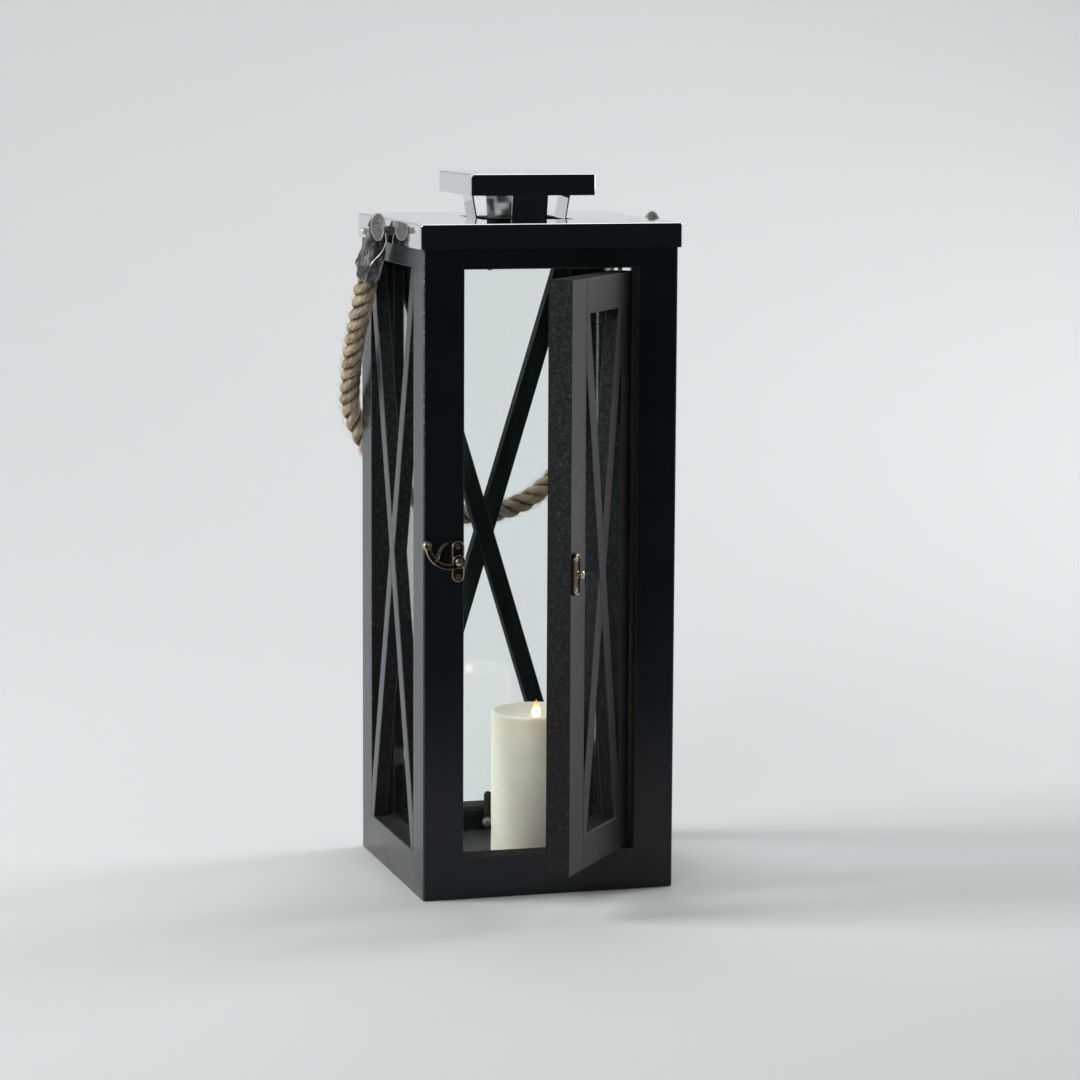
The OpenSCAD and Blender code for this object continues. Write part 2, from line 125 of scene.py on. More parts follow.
def add(tree, kind, inputs=None, **settings):
    """A new node of that kind. inputs maps sockets to values or to other nodes' outputs."""
    new = tree.nodes.new("ShaderNode" + kind)
    for key, value in settings.items():
        setattr(new, key, value)
    for key, value in (inputs or {}).items():
        if isinstance(value, bpy.types.NodeSocket):
            tree.links.new(value, new.inputs[key])
        else:
            new.inputs[key].default_value = value
    return new


def place(tree, stretch=(1, 1, 1), turn=0):
    """The surface point in the row frame, turned about X, then stretched along each axis."""
    where = add(tree, "TexCoord").outputs["Object"]
    if turn:
        where = add(tree, "Mapping", {"Vector": where, "Rotation": (turn, 0, 0)}).outputs["Vector"]
    return add(tree, "Mapping", {"Vector": where, "Scale": stretch}).outputs["Vector"]


def grain(tree, scale, detail=4, rough=0.6, stretch=(1, 1, 1), vector=None):
    """Noise with features about 1 / scale metres across."""
    return add(tree, "TexNoise", {"Vector": vector or place(tree, stretch), "Scale": scale,
                                  "Detail": detail, "Roughness": rough}).outputs["Fac"]


def ramp(tree, factor, *stops):
    """Colour ramp through (place, colour) stops; a colour may be one grey number."""
    made = add(tree, "ValToRGB", {"Fac": factor})
    elements = made.color_ramp.elements
    while len(elements) < len(stops):
        elements.new(0.5)
    for element, (where, colour) in zip(elements, stops):
        element.position = where
        element.color = (colour,) * 3 + (1,) if isinstance(colour, (int, float)) else (*colour, 1)
    return made.outputs["Color"]


def both(tree, a, b, share=0.5, blend="MIX"):
    """Mix of two values or colours, with that share of the second."""
    mix = add(tree, "Mix", {0: share, 6: a, 7: b}, data_type="RGBA", blend_type=blend)
    return mix.outputs[2]


def rise(tree, low, high):
    """0 below one height in metres and 1 above another."""
    up = add(tree, "SeparateXYZ", {0: place(tree)}).outputs["Z"]
    return add(tree, "MapRange", {0: up, 1: low, 2: high}).outputs[0]


def feed(shader, **sockets):
    """Links other nodes' outputs to a shader's sockets."""
    for socket, output in sockets.items():
        shader.id_data.links.new(output, shader.inputs[socket.replace("_", " ")])


def bump(shader, height, depth):
    """Bumps of that depth in millimetres."""
    bumps = add(shader.id_data, "Bump", {"Height": height, "Distance": depth * MM, "Strength": 1})
    feed(shader, Normal=bumps.outputs["Normal"])


def swap_for_ray(tree, ray, usual, other, output):
    """Uses one shader for most rays and another for one kind of ray."""
    kind = add(tree, "LightPath").outputs[ray]
    mix = add(tree, "MixShader", {0: kind, 1: usual.outputs[0], 2: other.outputs[0]})
    tree.links.new(mix.outputs[0], tree.nodes[output].inputs["Surface"])


def board_face(name, stretch, smooth=0.18, rough=0.28, lift=(1.35, 1.35, 1.35), dusty=False):
    """Satin black paint with a faint grain. lift brightens its red, green and blue; on the door it is
    painted light.
    """
    material, tree, shader = new_material(name, IOR=1.34, Specular_Tint=(1, 0.92, 1, 1))
    fibres = grain(tree, 900, 5, 0.65, stretch)
    clouds = grain(tree, 28, 4, 0.6)
    dark, light = (tuple(c * share for c, share in zip(colour, lift))
                   for colour in ((0.0065, 0.0105, 0.012), (0.0095, 0.0135, 0.015)))
    paint = ramp(tree, clouds, (0.3, dark), (0.75, light))
    if dusty:
        dust = ramp(tree, grain(tree, 95, 6, 0.75), (0.36, (0.01, 0.012, 0.013)),
                    (0.58, (0.075, 0.069, 0.065)), (0.75, (0.15, 0.14, 0.13)))
        paint = both(tree, dust, paint, rise(tree, 0.002, 0.034))
    feed(shader, Base_Color=paint,
         Roughness=ramp(tree, both(tree, fibres, clouds), (0.3, smooth), (0.7, rough)))
    bump(shader, both(tree, fibres, grain(tree, 350, 3, 0.5)), 0.06)
    return material


def board_edge():
    """Sawn edge of the board: paint over open fibres, with pale specks towards the top."""
    material, tree, shader = new_material("board_edge", IOR=1.4, Specular_IOR_Level=0.3)
    specks = grain(tree, 1300, 3, 0.7)
    clumps = grain(tree, 380, 5, 0.7)
    plain = ramp(tree, both(tree, clumps, specks, 0.4), (0.38, (0.003, 0.003, 0.003)),
                 (0.55, (0.0125, 0.012, 0.0115)), (0.72, (0.05, 0.047, 0.044)))
    speckled = ramp(tree, both(tree, clumps, specks), (0.38, (0.0022, 0.003, 0.0033)),
                    (0.52, (0.012, 0.0165, 0.0175)), (0.6, (0.038, 0.053, 0.056)),
                    (0.72, (0.12, 0.15, 0.155)))
    feed(shader, Base_Color=both(tree, plain, speckled, rise(tree, 0.1, 0.3)),
         Roughness=ramp(tree, specks, (0.3, 0.85), (0.7, 0.65)))
    bump(shader, both(tree, clumps, specks, 0.3), 0.5)
    return material


def board_worn():
    """Narrow rounded edge where the paint is thin and rubbed."""
    material, tree, shader = new_material("board_worn", IOR=1.5)
    rub = grain(tree, 420, 4, 0.7)
    paint = ramp(tree, rub, (0.46, (0.008, 0.01, 0.012)), (0.6, (0.022, 0.025, 0.028)),
                 (0.72, (0.1, 0.105, 0.11)))
    feed(shader, Base_Color=paint, Roughness=ramp(tree, rub, (0.3, 0.4), (0.7, 0.62)))
    bump(shader, rub, 0.2)
    return material


def board_corner():
    """Sharp outer corner of the case: rubbed paint, with pale dots high up that are a painted highlight
    along its rough edge.
    """
    material, tree, shader = new_material("board_corner", IOR=1.5)
    dots = grain(tree, 620, 3, 0.7)
    highlight_dots = ramp(tree, dots, (0.44, (0.012, 0.014, 0.016)), (0.52, (0.12, 0.125, 0.13)),
                  (0.62, (0.5, 0.51, 0.52)))
    rubbed = ramp(tree, dots, (0.46, (0.012, 0.014, 0.016)), (0.7, (0.05, 0.052, 0.055)))
    # Pale dots high up: painted highlight on the corner's rough edge. Lower down: rubbed paint.
    feed(shader, Base_Color=both(tree, rubbed, highlight_dots, rise(tree, 0.22, 0.36)),
         Roughness=ramp(tree, dots, (0.3, 0.4), (0.7, 0.6)))
    bump(shader, dots, 0.3)
    return material


def floor_paint():
    """Flat dark grey paint on the floor board, with soot and dust."""
    material, tree, shader = new_material("floor_paint", IOR=1.5)
    dust = grain(tree, 60, 5, 0.65)
    paint = ramp(tree, dust, (0.35, (0.02, 0.021, 0.023)), (0.7, (0.05, 0.051, 0.054)))
    feed(shader, Base_Color=paint, Roughness=ramp(tree, dust, (0.3, 0.45), (0.7, 0.7)))
    bump(shader, both(tree, dust, grain(tree, 900, 4)), 0.15)
    return material


def clear_glass():
    """Window glass that lets lamps through."""
    tint = (0.93, 0.97, 0.96, 1)
    material, tree, shader = new_material("clear_glass", Transmission_Weight=1, Roughness=0,
                                          IOR=1.5, Base_Color=tint)
    see = add(tree, "BsdfTransparent", {"Color": tint})
    swap_for_ray(tree, "Is Shadow Ray", shader, see, "Material Output")
    return material


def mirror_steel():
    """Polished steel sheet: faint rolling waves and hairline scratches."""
    material, tree, shader = new_material("mirror_steel", Metallic=1, Base_Color=(0.8, 0.81, 0.82, 1))
    hair = grain(tree, 500, 4, 0.7, (1, 14, 14))
    feed(shader, Roughness=ramp(tree, hair, (0.4, 0.035), (0.75, 0.11)))
    bump(shader, grain(tree, 22, 2, 0.4), 0.12)
    return material


def plain_metal(name, colour, smooth, rough, depth=0.05, scale=900, metallic=1):
    """Small metal fitting with a slightly uneven finish."""
    material, tree, shader = new_material(name, Metallic=metallic, Base_Color=(*colour, 1))
    marks = grain(tree, scale, 4, 0.65)
    feed(shader, Roughness=ramp(tree, marks, (0.35, smooth), (0.7, rough)))
    bump(shader, marks, depth)
    return material


def aged_brass():
    """Antique brass: dark in its hollows, bright on its rubbed ridges."""
    material, tree, shader = new_material("aged_brass", Metallic=1)
    ridge = add(tree, "NewGeometry").outputs["Pointiness"]
    marks = grain(tree, 1100, 4, 0.65)
    rubbed = ramp(tree, both(tree, ridge, marks, 0.25), (0.485, 0), (0.56, 1))
    dark = ramp(tree, grain(tree, 500, 3), (0.35, (0.075, 0.06, 0.038)), (0.7, (0.18, 0.145, 0.09)))
    feed(shader, Base_Color=both(tree, dark, (0.66, 0.57, 0.4, 1), rubbed),
         Roughness=ramp(tree, marks, (0.3, 0.25), (0.7, 0.42)))
    bump(shader, marks, 0.06)
    return material


def aged_ferrule():
    """Dull grey sheet metal, crumpled and scuffed along the ferrule."""
    material, tree, shader = new_material("aged_ferrule", Metallic=1)
    smears = grain(tree, 260, 5, 0.7, vector=place(tree, (1, 1, 0.3), -FERRULE_LEAN))
    scratches = grain(tree, 900, 3, 0.6, vector=place(tree, (1, 1, 0.12), -FERRULE_LEAN))
    scuffs = both(tree, smears, scratches, 0.4)
    metal = ramp(tree, scuffs, (0.38, (0.03, 0.027, 0.029)), (0.5, (0.11, 0.1, 0.105)),
                 (0.62, (0.4, 0.385, 0.39)))
    feed(shader, Base_Color=metal, Roughness=ramp(tree, smears, (0.3, 0.3), (0.7, 0.5)))
    bump(shader, scuffs, 0.9)
    return material


def jute():
    """Dry jute fibre: pale tan yarns and stray colours, darkened by painted shade and dirt in the
    hollows.
    """
    material, tree, shader = new_material("jute", IOR=1.4, Specular_IOR_Level=0.2, Roughness=0.85)
    fibre = add(tree, "Attribute", attribute_name="fibre").outputs["Vector"]
    # hollow darkens the yarns with painted shade and dirt, deepest between yarns and on the rope's inner
    # side.
    depth = add(tree, "Attribute", attribute_name="hollow").outputs["Fac"]
    streaks = grain(tree, 1, 5, 0.7, vector=fibre)
    base = ramp(tree, both(tree, streaks, grain(tree, 90, 4, 0.6), 0.3),
                (0.37, (0.16, 0.105, 0.06)), (0.5, (0.63, 0.485, 0.32)), (0.62, (0.97, 0.88, 0.73)))
    feed(shader, Base_Color=both(tree, base, (0.075, 0.042, 0.02, 1), depth))
    bump(shader, streaks, 0.8)
    return material


def candle_wax():
    """Ivory wax that light soaks into, with a painted glow of the flame: darker at its foot, paler
    towards the top.
    """
    material, tree, shader = new_material(
        "candle_wax", IOR=1.44, Subsurface_Weight=1, Subsurface_Scale=0.012,
        Subsurface_Radius=(1, 0.75, 0.5), Coat_Weight=0.15, Coat_Roughness=0.35)
    cloud = grain(tree, 45, 4, 0.6)
    tint = ramp(tree, cloud, (0.3, (0.74, 0.715, 0.6)), (0.7, (0.79, 0.77, 0.68)))
    # Painted glow of the flame: the wax darkens towards its foot, is palest near the top and dims a
    # little at the rim.
    glow = ramp(tree, rise(tree, 0.011, 0.111), (0, 0.78), (0.6, 0.97), (0.9, 1), (1, 0.88))
    feed(shader, Base_Color=both(tree, tint, glow, 1, "MULTIPLY"),
         Roughness=ramp(tree, grain(tree, 300, 4), (0.3, 0.38), (0.7, 0.55)))
    bump(shader, both(tree, cloud, grain(tree, 220, 3)), 0.2)
    return material


def burnt_wick():
    """Charred cotton."""
    material, tree, shader = new_material("burnt_wick", Roughness=0.95)
    char = grain(tree, 2500, 3)
    feed(shader, Base_Color=ramp(tree, char, (0.4, 0.008), (0.65, (0.05, 0.04, 0.035))))
    bump(shader, char, 0.1)
    return material


def flame_glow():
    """Candle flame: dim foot, pale heart and orange tip."""
    material, tree, shader = new_material("flame_glow", Base_Color=(0, 0, 0, 1), Roughness=1,
                                          Emission_Strength=3.8)
    up = add(tree, "SeparateXYZ", {0: add(tree, "TexCoord").outputs["Generated"]}).outputs["Z"]
    feed(shader, Emission_Color=ramp(
        tree, up, (0, (0.35, 0.16, 0.07)), (0.15, (0.8, 0.6, 0.4)), (0.45, (1, 0.85, 0.6)),
        (0.7, (0.5, 0.24, 0.06)), (1, (0.22, 0.06, 0.008))))
    return material


# The grain's stretch on upright boards and on boards that lie across
UPRIGHT, ACROSS = (1, 1, 0.05), (0.05, 0.05, 1)
FACE_UP = board_face("board_face_upright", UPRIGHT)
FACE_ACROSS = board_face("board_face_across", ACROSS)
DUSTY = board_face("board_face_dusty", ACROSS, dusty=True)
# The door's boards get brighter, redder paint: painted light standing for the light on the open door's
# face.
DOOR_LIT_PAINT = (0.3, 0.4, (2.4, 1.4, 1.4))
DOOR_UP = board_face("door_face_upright", UPRIGHT, *DOOR_LIT_PAINT)
DOOR_ACROSS = board_face("door_face_across", ACROSS, *DOOR_LIT_PAINT)
EDGE = board_edge()
WORN = board_worn()
CORNER_RUB_AND_HIGHLIGHT = board_corner()
GLASS = clear_glass()
MIRROR = mirror_steel()
STEEL = plain_metal("bright_steel", (0.72, 0.72, 0.71), 0.16, 0.34)
DARK_STEEL = plain_metal("dark_clip", (0.12, 0.12, 0.12), 0.3, 0.5)
BRASS = aged_brass()
# Dark brass of the latch's sunk fields; on the plate screws it is also the painted shade of their slots.
BRASS_DARK = plain_metal("brass_hollow", (0.03, 0.024, 0.019), 0.4, 0.6)
ZINC = plain_metal("zinc_screw", (0.62, 0.62, 0.6), 0.28, 0.42, metallic=0.55)
SLOT_SHADE = plain_metal("screw_slot", (0.05, 0.05, 0.05), 0.5, 0.7)
FERRULE = aged_ferrule()
# Pale metal of the ferrule's mouth: painted light for the lit inside of the sheet.
FERRULE_MOUTH_LIT = plain_metal("ferrule_mouth_painted_lit", (0.46, 0.45, 0.46), 0.35, 0.6, 3, 260, 0.7)
CUT = plain_metal("cut_sheet", (0.85, 0.84, 0.83), 0.35, 0.55, metallic=0.3)


# ---- Mesh helpers ----

# What a face's material index says while a board is being made
FLAT, ROUNDED, SHARP_CORNER = 0, 1, 3


def make_piece(name, bm, materials, body, stands_for=(), crease=35):
    """A piece from a bmesh: it rides on a body and stands for CAD nodes."""
    mesh = bpy.data.meshes.new(name)
    bm.to_mesh(mesh)
    bm.free()
    for material in materials:
        mesh.materials.append(material)
    mesh.shade_smooth()
    mesh.set_sharp_from_angle(angle=radians(crease))
    piece = show(name, mesh)
    piece.modifiers.new("weigh", "WEIGHTED_NORMAL").keep_sharp = True
    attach(piece, body)
    if stands_for:
        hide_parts(*stands_for)


def cad_copy(node):
    """bmesh of a CAD node, with flat faces made whole again."""
    bm = bmesh.new()
    bm.from_mesh(nodes[node].data)
    bmesh.ops.remove_doubles(bm, verts=bm.verts, dist=0.002 * MM)
    bmesh.ops.dissolve_limit(bm, angle_limit=radians(0.5), verts=bm.verts, edges=bm.edges)
    return bm


def soften(bm, width, segments=2, shortest=2, pick=None, mark=FLAT):
    """Rounds sharp edges longer than shortest millimetres and marks the new faces."""
    edges = [e for e in bm.edges if len(e.link_faces) == 2
             and e.calc_face_angle() > radians(30) and e.calc_length() > shortest * MM
             and (pick is None or pick(e))]
    bmesh.ops.bevel(bm, geom=edges, offset=width * MM, segments=segments, profile=0.5,
                    affect="EDGES", clamp_overlap=False, material=mark)
    return bm


def middle(edge):
    """The point half-way along an edge."""
    return (edge.verts[0].co + edge.verts[1].co) / 2


def trim(bm, point, normal):
    """Cuts away what lies beyond a plane and closes the cut."""
    bmesh.ops.bisect_plane(bm, geom=bm.verts[:] + bm.edges[:] + bm.faces[:], plane_co=point,
                           plane_no=normal, clear_outer=True)
    bmesh.ops.holes_fill(bm, edges=[e for e in bm.edges if e.is_boundary])


def arc(centre, radius, start, end, steps):
    """Points along an arc, angles in degrees."""
    turns = [radians(start + (end - start) * i / steps) for i in range(steps + 1)]
    return [(centre[0] + radius * cos(a), centre[1] + radius * sin(a)) for a in turns]


def join_loops(bm, loops, material=0, closed=True):
    """Faces between neighbouring loops of vertices."""
    for a, b in zip(loops, loops[1:]):
        for k in range(len(a) if closed else len(a) - 1):
            j = (k + 1) % len(a)
            bm.faces.new((a[k], a[j], b[j], b[k])).material_index = material


# ---- Case boards ----

# Radius of the boards' round edges and of the case's outer corners, and half a joint's gap
ROUND = 0.7 * MM
CORNER = 1.3 * MM
SEAM = 0.06 * MM


def paint_board(bm, normal):
    """Turns the marks into materials: 0 broad faces, 1 sawn edges, 2 round edges, 3 corners."""
    for face in bm.faces:
        if face.material_index != SHARP_CORNER:
            flat = 0 if abs(face.normal.dot(normal)) > 0.97 else 1
            face.material_index = 2 if face.material_index == ROUNDED else flat
    return bm


def swept(outline, kinds, ends):
    """A board swept between two ends. kinds are the marks of the faces round its outline."""
    bm = bmesh.new()
    low, high = ([bm.verts.new(point + end) for point in outline] for end in ends)
    join_loops(bm, (low, high))
    for face, kind in zip(bm.faces, kinds):
        face.material_index = kind
    bm.faces.new(low[::-1])
    bm.faces.new(high)
    return bm


def case_stile():
    """Left upright of the front panel: round edges, mitred ends and an outer corner of rubbed paint with
    painted highlight dots high up.
    """
    outline = (arc((-OPEN_X - ROUND, -HALF + ROUND), ROUND, -90, 0, 3)
               + arc((-OPEN_X - ROUND, -INNER - ROUND), ROUND, 0, 90, 3)
               + [(-INNER, -INNER)] + arc((-HALF + CORNER, -HALF + CORNER), CORNER, 225, 270, 4))
    edge = [ROUNDED] * 3 + [FLAT]
    bm = swept([Vector((x, y, 0)) for x, y in outline], edge * 2 + [FLAT, SHARP_CORNER] + edge,
               (Vector((0, 0, -MM)), Vector((0, 0, CASE_H + MM))))
    slope = Vector((RAIL_H, 0, -(HALF - OPEN_X))).normalized()
    trim(bm, Vector((-HALF, 0, SEAM)), slope)
    trim(bm, Vector((-HALF, 0, CASE_H - SEAM)), Vector((slope.x, 0, -slope.z)))
    return bm


def case_rail():
    """Bottom cross member of the front panel, with mitred ends."""
    corners = ((-HALF + ROUND, ROUND), (-INNER - ROUND, ROUND),
               (-INNER - ROUND, RAIL_H - ROUND), (-HALF + ROUND, RAIL_H - ROUND))
    outline = [Vector((0, y, z)) for centre, start in zip(corners, (180, 270, 0, 90))
               for y, z in arc(centre, ROUND, start, start + 90, 3)]
    bm = swept(outline, ([ROUNDED] * 3 + [FLAT]) * 4,
               (Vector((-HALF - MM, 0, 0)), Vector((HALF + MM, 0, 0))))
    slope = Vector((-RAIL_H, 0, HALF - OPEN_X)).normalized()
    for side in (1, -1):
        trim(bm, Vector((-HALF * side, 0, -SEAM)), Vector((slope.x * side, 0, slope.z)))
        trim(bm, Vector((-INNER * side, -INNER, 0)), Vector((-side, 1, 0)).normalized())
    return bm


def chip(bm):
    """Wears off the bottom corners of a board of the front panel."""
    for side in (1, -1):
        trim(bm, Vector(((HALF - 0.5 * MM) * side, -HALF + 0.5 * MM, 0.9 * MM)),
             Vector((side, -1, -1.2)).normalized())


# Quarter turns that bring the front panel to each side
PANELS = {"front": 0, "right": 1, "back": 2, "left": 3}


def case_boards():
    """The sixteen boards of the case's four frames."""
    sides = {"front": ("left", "right"), "back": ("right", "left"), "left": ("back", "front"),
             "right": ("front", "back")}
    for panel, turns in PANELS.items():
        turn = Matrix.Rotation(turns * TAU / 4, 4, "Z")
        for mirror, side in enumerate(sides[panel]):
            bm = case_stile()
            chip(bm)
            if mirror:
                bmesh.ops.scale(bm, verts=bm.verts, vec=(-1, 1, 1))
            finish_board(bm, turn, f"{panel}_stile_{side}", FACE_UP)
        for upper, edge in enumerate(("bottom", "top")):
            bm = case_rail()
            if upper:
                bmesh.ops.scale(bm, verts=bm.verts, vec=(1, 1, -1))
                bmesh.ops.translate(bm, verts=bm.verts, vec=(0, 0, CASE_H))
            else:
                chip(bm)
            low_side = edge == "bottom" and panel in ("left", "right")
            finish_board(bm, turn, f"{panel}_rail_{edge}", DUSTY if low_side else FACE_ACROSS)


def finish_board(bm, turn, node, face):
    """Turns a board of the front panel to its panel and makes it a piece."""
    bmesh.ops.recalc_face_normals(bm, faces=bm.faces)
    paint_board(bm, Vector((0, -1, 0)))
    bmesh.ops.transform(bm, matrix=turn, verts=bm.verts)
    make_piece(f"{node}_board", bm, (face, EDGE, WORN, CORNER_RUB_AND_HIGHLIGHT), "case", (node,))


case_boards()


def straight_boards():
    """Slats, the door's members and the floor board: their CAD shapes with rounded edges."""
    for panel in ("back", "left", "right"):
        normal = Matrix.Rotation(PANELS[panel] * TAU / 4, 3, "Z") @ Vector((0, -1, 0))
        for way in ("rising", "falling"):
            soft_board(f"{panel}_slat_{way}", normal, "case", FACE_UP)

    def across(point):
        return point.x * DOOR_NORMAL.y - point.y * DOOR_NORMAL.x

    free_edge = min(across(v.co) for v in nodes["door_stile_free"].data.vertices)

    def outer(edge):
        return abs(across(middle(edge)) - free_edge) < MM or edge.calc_length() < 30 * MM

    def level(edge):
        return abs(edge.verts[0].co.z - edge.verts[1].co.z) < MM

    rounded = {"stile_hinge": lambda edge: False, "stile_free": outer, "rail_top": level,
               "rail_bottom": level, "slat_rising": None, "slat_falling": None}
    for name, pick in rounded.items():
        face = DOOR_ACROSS if pick is level else DOOR_UP
        soft_board("door_" + name, DOOR_NORMAL, "door", face, pick)
    bm = soften(cad_copy("floor_board"), 0.5, mark=ROUNDED)
    make_piece("floor_board_panel", bm, (floor_paint(), WORN), "case", ("floor_board",))


def soft_board(node, normal, body, face, pick=None):
    """A piece with a CAD board's shape and rounded edges where pick says so."""
    bm = paint_board(soften(cad_copy(node), 0.6, 2, 20, pick, ROUNDED), normal)
    make_piece(node + "_board", bm, (face, EDGE, WORN), body, (node,))


straight_boards()

# ---- Roof and glass ----

def folded_sheet(node, radius):
    """A folded lid with rounded folds."""
    low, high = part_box(node)
    near = 0.1 * MM

    def outer(edge):
        spot = middle(edge)
        sides = sum(abs(abs(c) - h) < near for c, h in ((spot.x, high.x), (spot.y, high.y)))
        return sides == 2 or (sides == 1 and abs(spot.z - high.z) < near)

    bm = soften(cad_copy(node), radius, 4, pick=outer)
    soften(bm, 0.15, 1, shortest=15, pick=lambda edge: edge.verts[0].co.z > low.z + MM)
    make_piece(node + "_sheet", bm, (MIRROR,), "case", (node,))


folded_sheet("roof_lid", 1.4)
folded_sheet("roof_cap", 1.4)
make_piece("cap_leg_strips", soften(cad_copy("cap_legs"), 0.15), (MIRROR,), "case",
           ("cap_legs",))


def finish_node(node, material):
    """Gives a CAD node that is shown as it is its material."""
    piece = nodes[node]
    for material_slot in piece.material_slots:
        material_slot.link = "OBJECT"
        material_slot.material = material


for pane in ("back_glass", "left_glass", "right_glass", "door_glass"):
    finish_node(pane, GLASS)


# ---- Rope handle ----

# The rope's route from the left ferrule to the middle of its hanging loop, in millimetres
ROPE_HALF = [
    (-96, 17.6, 406.7), (-96, 24.7, 397), (-96.3, 34.5, 383.2), (-96.8, 44, 370),
    (-97, 53, 357.5), (-96.6, 62.5, 345), (-95.6, 72.5, 333), (-94.2, 82, 321),
    (-91.8, 91.5, 308.5), (-86.5, 97.5, 295), (-78.5, 100.5, 280), (-66, 102, 262),
    (-50.5, 102, 246), (-33.5, 102, 235), (-17, 101.7, 229.8), (0, 101.5, 228.2)]
# The length of one turn of a strand, its radius, its yarns and how fast they turn inside it
ROPE_LAY = 33 * MM
STRAND_R = 3.5 * MM
YARNS = 7
YARN_TURN = 1.9
STRAND_SIDES = 48
HAIRS, HAIR_RINGS = 1250, 5


def rope_route(step):
    """Smooth centre line through the route's points, with a point every step metres."""
    half = [Vector(p) * MM for p in ROPE_HALF]
    points = half + [Vector((-p.x, p.y, p.z)) for p in half[-2::-1]]
    ends = [points[0] * 2 - points[1], *points, points[-1] * 2 - points[-2]]
    line = []
    for a, b, c, d in zip(ends, ends[1:], ends[2:], ends[3:]):
        for i in range(40):
            t = i / 40
            line.append(0.5 * (2 * b + (c - a) * t + (2 * a - 5 * b + 4 * c - d) * t * t
                               + (3 * b - a - 3 * c + d) * t ** 3))
    line.append(points[-1])
    line = np.array(line)
    along = np.concatenate(([0], np.cumsum(np.linalg.norm(np.diff(line, axis=0), axis=1))))
    at = np.linspace(0, along[-1], round(along[-1] / step) + 1)
    return np.stack([np.interp(at, along, line[:, k]) for k in range(3)], axis=1), at


def turning_frames(line):
    """Tangent and two normals at each point of a line, carried along it without twisting."""
    tangent = np.gradient(line, axis=0)
    tangent /= np.linalg.norm(tangent, axis=1)[:, None]
    normal = np.cross(tangent[0], (1, 0, 0))
    normals = []
    for t in tangent:
        normal = normal - t * (normal @ t)
        normal /= np.linalg.norm(normal)
        normals.append(normal)
    normals = np.array(normals)
    return tangent, normals, np.cross(tangent, normals)


def tube_faces(rings, sides, first):
    """Quads of a tube whose points lie ring by ring, with both ends closed."""
    starts = [first + r * sides for r in range(rings)]
    faces = [(a + k, a + (k + 1) % sides, b + (k + 1) % sides, b + k)
             for a, b in zip(starts, starts[1:]) for k in range(sides)]
    last = starts[-1]
    return faces + [tuple(range(first + sides - 1, first - 1, -1)), tuple(range(last, last + sides))]


def twisted_strand(strand, line, at, normal, binormal):
    """Rings of points of one strand, each point's place among the fibres and how deep it lies, which
    paints shade and dirt.
    """
    around = np.arange(STRAND_SIDES) * TAU / STRAND_SIDES
    wander = np.array([noise.noise(Vector((s * 40, 0, 7))) for s in at])
    turn = at / ROPE_LAY * TAU + wander * 0.35 + strand * TAU / 3
    out = normal * np.cos(turn)[:, None] + binormal * np.sin(turn)[:, None]
    swell = 1 + 0.05 * np.array([noise.noise(Vector((s * 120, strand * 9, 0))) for s in at])
    swell *= np.interp(np.minimum(at, at[-1] - at), [d * MM for d in (9, 12, 15, 22, 32)],
                       (0.8, 0.9, 1.07, 1.07, 1))
    centre = line + out * (STRAND_R * swell)[:, None]
    along = np.gradient(centre, axis=0)
    along /= np.linalg.norm(along, axis=1)[:, None]
    side = np.cross(along, out)
    # The yarns turn the other way inside their strand.
    yarn_turn = around[None, :] + (at / ROPE_LAY * TAU * YARN_TURN)[:, None] + strand
    share = (yarn_turn * YARNS / TAU) % 1
    crest = np.sqrt(np.clip(1 - (2 * share - 1) ** 2, 0, 1))
    loose = np.array([[noise.noise(Vector((s * 330, a * 1.9, strand * 5))) for a in row]
                      for s, row in zip(at, yarn_turn)])
    radius = STRAND_R * swell[:, None] * (0.86 + 0.16 * crest + 0.10 * loose)
    rings = (centre[:, None, :] + (radius * np.cos(around))[:, :, None] * out[:, None, :]
             + (radius * np.sin(around))[:, :, None] * side[:, None, :])
    # How deep a point lies, as painted shade and dirt: most on the strand's inner side and between its
    # yarns.
    inward = np.clip((np.minimum(around, TAU - around) - 0.75) / 0.8, 0, 1)
    deep = np.clip(0.9 * inward[None, :] + 0.85 * (1 - crest) ** 1.3 - 0.5 * loose, 0, 1)
    fibre = np.stack([yarn_turn * 12 + strand * 50, np.repeat(at[:, None] * 260, STRAND_SIDES, 1),
                      np.floor(yarn_turn * YARNS / TAU) * 3.7], axis=2)
    return rings, fibre, deep


def stray_hair(line, tangent, normal, binormal):
    """Points of a curved fibre that stands off the rope at a random spot."""
    spot = random.randrange(22, len(line) - 22)
    angle, lift = random.uniform(0, TAU), random.uniform(0.4, 1.7) * MM
    lean = random.uniform(-0.7, 0.7)
    length = random.uniform(3, 9) * MM
    outward = normal[spot] * cos(angle) + binormal[spot] * sin(angle)
    root = line[spot] + outward * 6.3 * MM
    across = np.cross(tangent[spot], outward)
    heading = tangent[spot] * random.choice((-1, 1)) + across * lean
    heading /= np.linalg.norm(heading)
    points = []
    for t in [i / (HAIR_RINGS - 1) for i in range(HAIR_RINGS)]:
        centre = root + heading * length * t + outward * (4 * lift * t * (1 - 0.6 * t))
        thick = 0.12 * MM * (1 - 0.6 * t)
        points += [(centre + thick * (outward * cos(a) + across * sin(a))).tolist()
                   for a in (0, TAU / 3, 2 * TAU / 3)]
    return points


